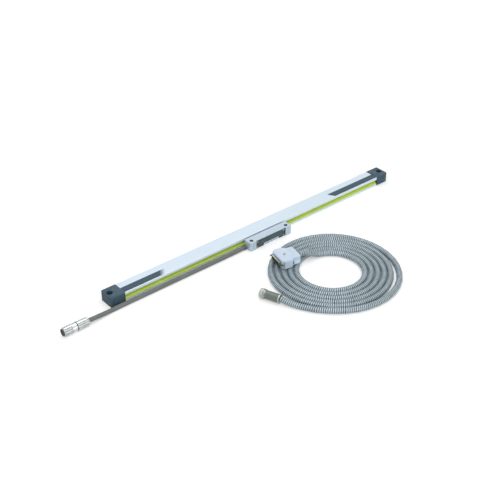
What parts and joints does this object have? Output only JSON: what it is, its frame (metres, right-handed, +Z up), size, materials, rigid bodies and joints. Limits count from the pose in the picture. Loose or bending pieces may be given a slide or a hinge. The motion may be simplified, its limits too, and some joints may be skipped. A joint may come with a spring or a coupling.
{
  "type": "linear glass scale",
  "caption": "Slim sealed linear glass scale with a sliding reading head on a plug-ended lead, and a coiled armoured extension cable.",
  "frame": {"origin": "under the middle of the scale with its head, on the surface it lies on", "axes": "+X along the scale to the right, +Y from the reading head's side to the back, +Z up"},
  "size_m": [0.7008, 0.2868, 0.0264],
  "materials": {
    "anodised_aluminium": "satin",
    "end_cap_paint": "satin",
    "black_rubber": "matte",
    "steel_screws": "satin",
    "clear_glass": "polished",
    "elastic_bond": "matte",
    "green_lip": "satin",
    "label_film": "satin",
    "die_cast_metal": "satin",
    "cover_paint": "satin",
    "spring_steel": "satin",
    "carriage_metal": "satin",
    "circuit_board": "matte",
    "lead_jacket": "satin",
    "bearing_steel": "polished",
    "nickel_plate": "satin",
    "socket_metal": "satin",
    "black_insert": "matte",
    "gold_contacts": "polished",
    "galvanised_steel": "satin",
    "hood_metal": "satin"
  },
  "bodies": {
    "scale": {"scale_housing": "anodised_aluminium", "end_cap_left": "end_cap_paint", "end_cap_right": "end_cap_paint", "end_gasket_left": "black_rubber", "end_gasket_right": "black_rubber", "end_cap_screws": "steel_screws", "glass_scale": "clear_glass", "glass_bond_strip": "elastic_bond", "upper_lip_seal": "green_lip", "lower_lip_seal": "green_lip", "air_port_plugs": "end_cap_paint", "label_strip_left": "label_film", "label_strip_right": "label_film", "armour_coil": "galvanised_steel", "armour_to_d_plug": "galvanised_steel", "armour_to_socket": "galvanised_steel", "socket_barrel": "socket_metal", "socket_end_ring": "nickel_plate", "socket_insert": "black_insert", "socket_contacts": "gold_contacts", "d_hood_upper": "hood_metal", "d_hood_lower": "hood_metal", "d_shell": "nickel_plate", "d_insert": "black_insert", "d_contacts": "gold_contacts", "d_ferrule": "galvanised_steel", "hood_screws": "steel_screws"},
    "reading_head": {"head_housing": "die_cast_metal", "head_cover": "cover_paint", "cover_gasket": "black_rubber", "cover_screws": "steel_screws", "drive_blade": "spring_steel", "blade_screws": "steel_screws", "coupling_wire": "spring_steel", "scanning_carriage": "carriage_metal", "roller_axles": "steel_screws", "lamp_lens": "clear_glass", "index_grating": "clear_glass", "photocell_board": "circuit_board", "head_circuit_board": "circuit_board", "cable_gland": "lead_jacket", "head_lead": "lead_jacket", "plug_back_nut": "nickel_plate", "plug_seal_ring": "black_rubber", "plug_core": "nickel_plate", "plug_insert": "black_insert"},
    "face_roller_left": {"face_roller_left": "bearing_steel"},
    "face_roller_mid": {"face_roller_mid": "bearing_steel"},
    "face_roller_right": {"face_roller_right": "bearing_steel"},
    "edge_roller_left": {"edge_roller_left": "bearing_steel"},
    "edge_roller_right": {"edge_roller_right": "bearing_steel"},
    "plug_sleeve": {"plug_sleeve": "nickel_plate"},
    "socket_ring": {"socket_ring": "nickel_plate"},
    "jackscrew_left": {"jackscrew_left": "nickel_plate"},
    "jackscrew_right": {"jackscrew_right": "nickel_plate"}
  },
  "joints": [
    {"name": "head_slide", "type": "slide", "parent": "scale", "child": "reading_head", "axis": [1, 0, 0], "range_m": [-0.2355, 0.2285]},
    {"name": "face_roller_left_spin", "type": "hinge", "parent": "reading_head", "child": "face_roller_left", "pos_m": [-0.0225, 0.0137, 0.0046], "axis": [0, 1, 0], "continuous": true},
    {"name": "face_roller_mid_spin", "type": "hinge", "parent": "reading_head", "child": "face_roller_mid", "pos_m": [0.0035, 0.0091, 0.0046], "axis": [0, 1, 0], "continuous": true},
    {"name": "face_roller_right_spin", "type": "hinge", "parent": "reading_head", "child": "face_roller_right", "pos_m": [0.0295, 0.0137, 0.0046], "axis": [0, 1, 0], "continuous": true},
    {"name": "edge_roller_left_spin", "type": "hinge", "parent": "reading_head", "child": "edge_roller_left", "pos_m": [-0.0225, 0.00575, 0.00835], "axis": [0, 0, 1], "continuous": true},
    {"name": "edge_roller_right_spin", "type": "hinge", "parent": "reading_head", "child": "edge_roller_right", "pos_m": [0.0295, 0.00575, 0.00835], "axis": [0, 0, 1], "continuous": true},
    {"name": "plug_sleeve_turn", "type": "hinge", "parent": "reading_head", "child": "plug_sleeve", "pos_m": [-0.385, -0.0168, 0.0072], "axis": [1, 0, 0], "continuous": true},
    {"name": "socket_ring_turn", "type": "hinge", "parent": "scale", "child": "socket_ring", "pos_m": [-0.10709, -0.13436, 0.00825], "axis": [-0.3616, 0.9323, 0], "continuous": true},
    {"name": "jackscrew_left_turn", "type": "hinge", "parent": "scale", "child": "jackscrew_left", "pos_m": [-0.03089, -0.07398, 0.0177], "axis": [0.9755, -0.2198, 0], "continuous": true},
    {"name": "jackscrew_right_turn", "type": "hinge", "parent": "scale", "child": "jackscrew_right", "pos_m": [-0.03821, -0.10646, 0.0177], "axis": [0.9755, -0.2198, 0], "continuous": true}
  ],
  "couplings": [
    {"joint": "face_roller_left_spin", "follows": "head_slide", "rad_per_m": -454.55},
    {"joint": "face_roller_mid_spin", "follows": "head_slide", "rad_per_m": -454.55},
    {"joint": "face_roller_right_spin", "follows": "head_slide", "rad_per_m": -454.55},
    {"joint": "edge_roller_left_spin", "follows": "head_slide", "rad_per_m": 454.55},
    {"joint": "edge_roller_right_spin", "follows": "head_slide", "rad_per_m": 454.55}
  ]
}
